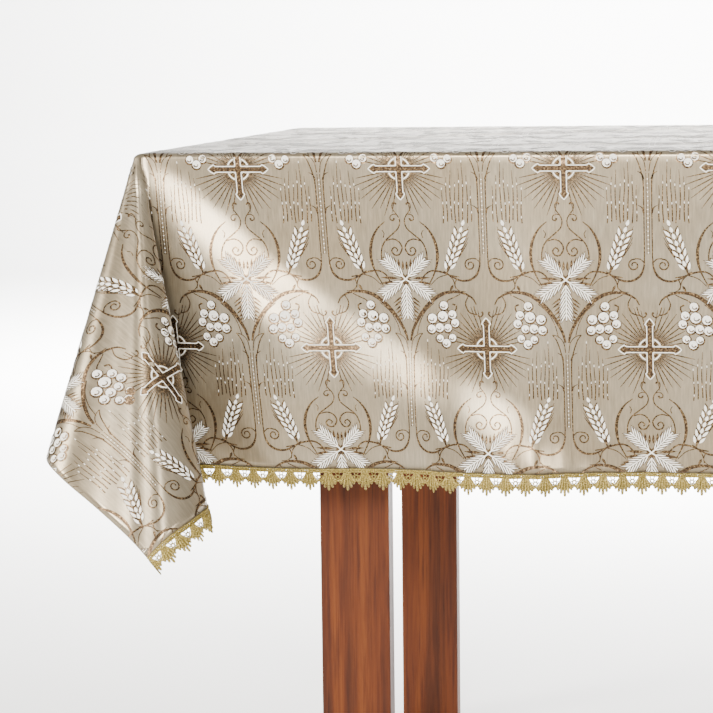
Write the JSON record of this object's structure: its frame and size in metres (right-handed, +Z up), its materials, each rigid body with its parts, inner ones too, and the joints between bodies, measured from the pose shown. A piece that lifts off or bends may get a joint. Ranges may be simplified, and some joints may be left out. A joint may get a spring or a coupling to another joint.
{
  "type": "altar frontal draped over a plain wooden altar table",
  "caption": "Figured satin altar frontal with a gold lace edge along its front hem, hanging over all sides of a plain wooden altar table.",
  "frame": {"origin": "on the floor, under the middle of the table", "axes": "+X to the right along the altar as seen from the front, +Y to the back, +Z up; the front with the lace faces -Y"},
  "size_m": [1.5823, 1.3536, 0.9495],
  "materials": {
    "satin": "champagne figured satin",
    "gold_lace": "gold guipure lace",
    "wood": "oiled reddish-brown wood"
  },
  "bodies": {
    "root": {"altar_cloth": "satin", "front_lace": "gold_lace", "table_top": "wood", "leg_front_left": "wood", "leg_front_right": "wood", "leg_back_left": "wood", "leg_back_right": "wood", "rail_front": "wood", "rail_back": "wood", "rail_left": "wood", "rail_right": "wood"}
  },
  "joints": []
}
